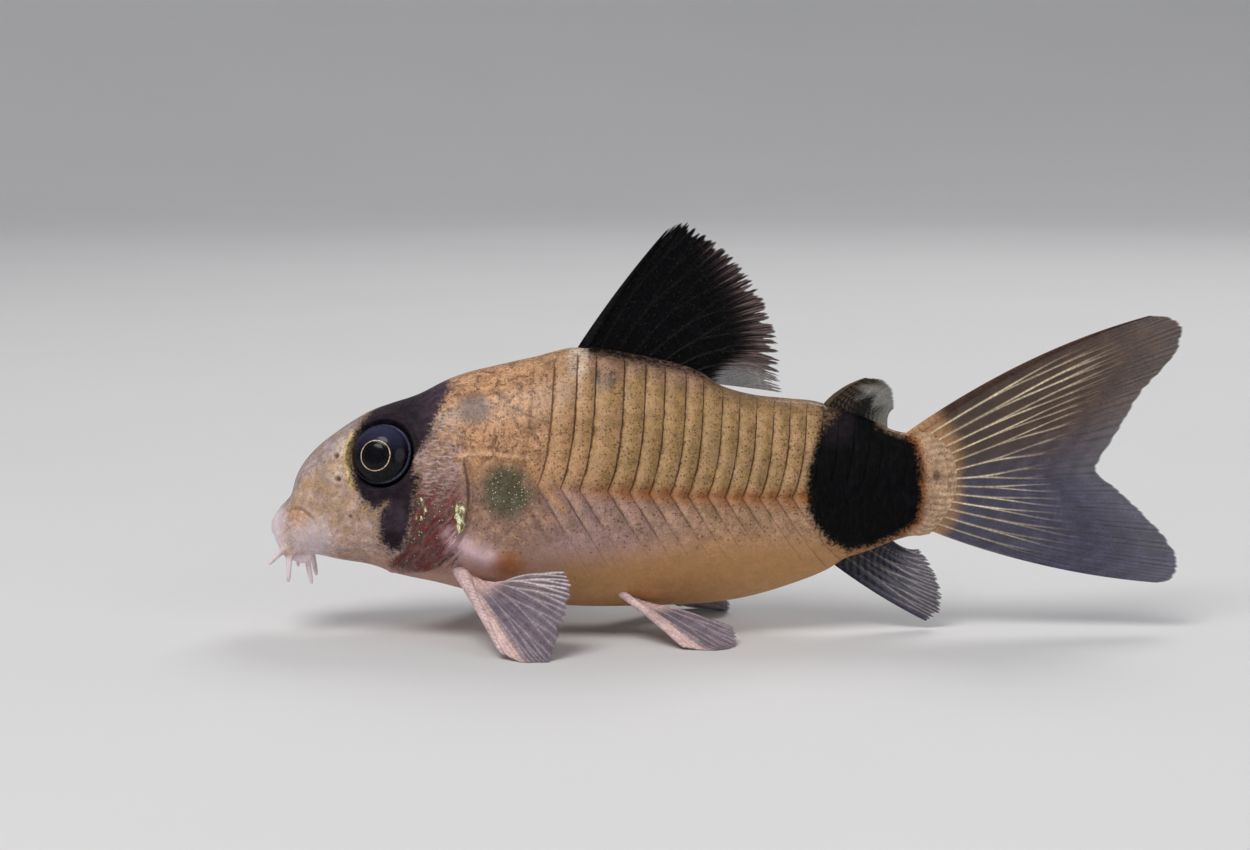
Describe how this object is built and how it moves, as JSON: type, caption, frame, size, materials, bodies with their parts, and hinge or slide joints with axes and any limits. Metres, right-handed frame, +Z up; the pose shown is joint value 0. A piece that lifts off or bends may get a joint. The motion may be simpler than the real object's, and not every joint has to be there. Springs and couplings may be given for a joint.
{
  "type": "corydoras catfish model",
  "caption": "Life-size still model of a small armoured catfish with barbels, plated flanks and a forked tail, resting on its paired fins.",
  "frame": {"origin": "on the floor, below the middle of the fish's overall length, in its plane of symmetry", "axes": "+X from head to tail, +Y towards the fish's right side, +Z up"},
  "size_m": [0.0502, 0.0196, 0.0226],
  "materials": {
    "head_skin": "moist tan skin with a black band through the eye and fine dark specks",
    "flank_plates": "overlapping bony plates, orange tan above and pinkish beige below",
    "tail_plates": "bony plates under a black blotch, orange at the end",
    "eye": "wet and black with a thin gold ring round the pupil",
    "dark_fin": "black skin between rays, clear at its rear edge",
    "pale_fin": "clear skin between pale branching rays",
    "barbel": "pale, soft and slightly see-through"
  },
  "bodies": {
    "root": {"head": "head_skin", "trunk": "flank_plates", "tail": "tail_plates", "eye_left": "eye", "eye_right": "eye", "dorsal_fin": "dark_fin", "adipose_fin": "pale_fin", "anal_fin": "pale_fin", "caudal_fin_upper": "pale_fin", "caudal_fin_lower": "pale_fin", "pectoral_fin_left": "pale_fin", "pectoral_fin_right": "pale_fin", "pelvic_fin_left": "pale_fin", "pelvic_fin_right": "pale_fin", "barbel_upper_left": "barbel", "barbel_upper_right": "barbel", "barbel_lower_left": "barbel", "barbel_lower_right": "barbel", "barbel_chin_left": "barbel", "barbel_chin_right": "barbel"}
  },
  "joints": []
}
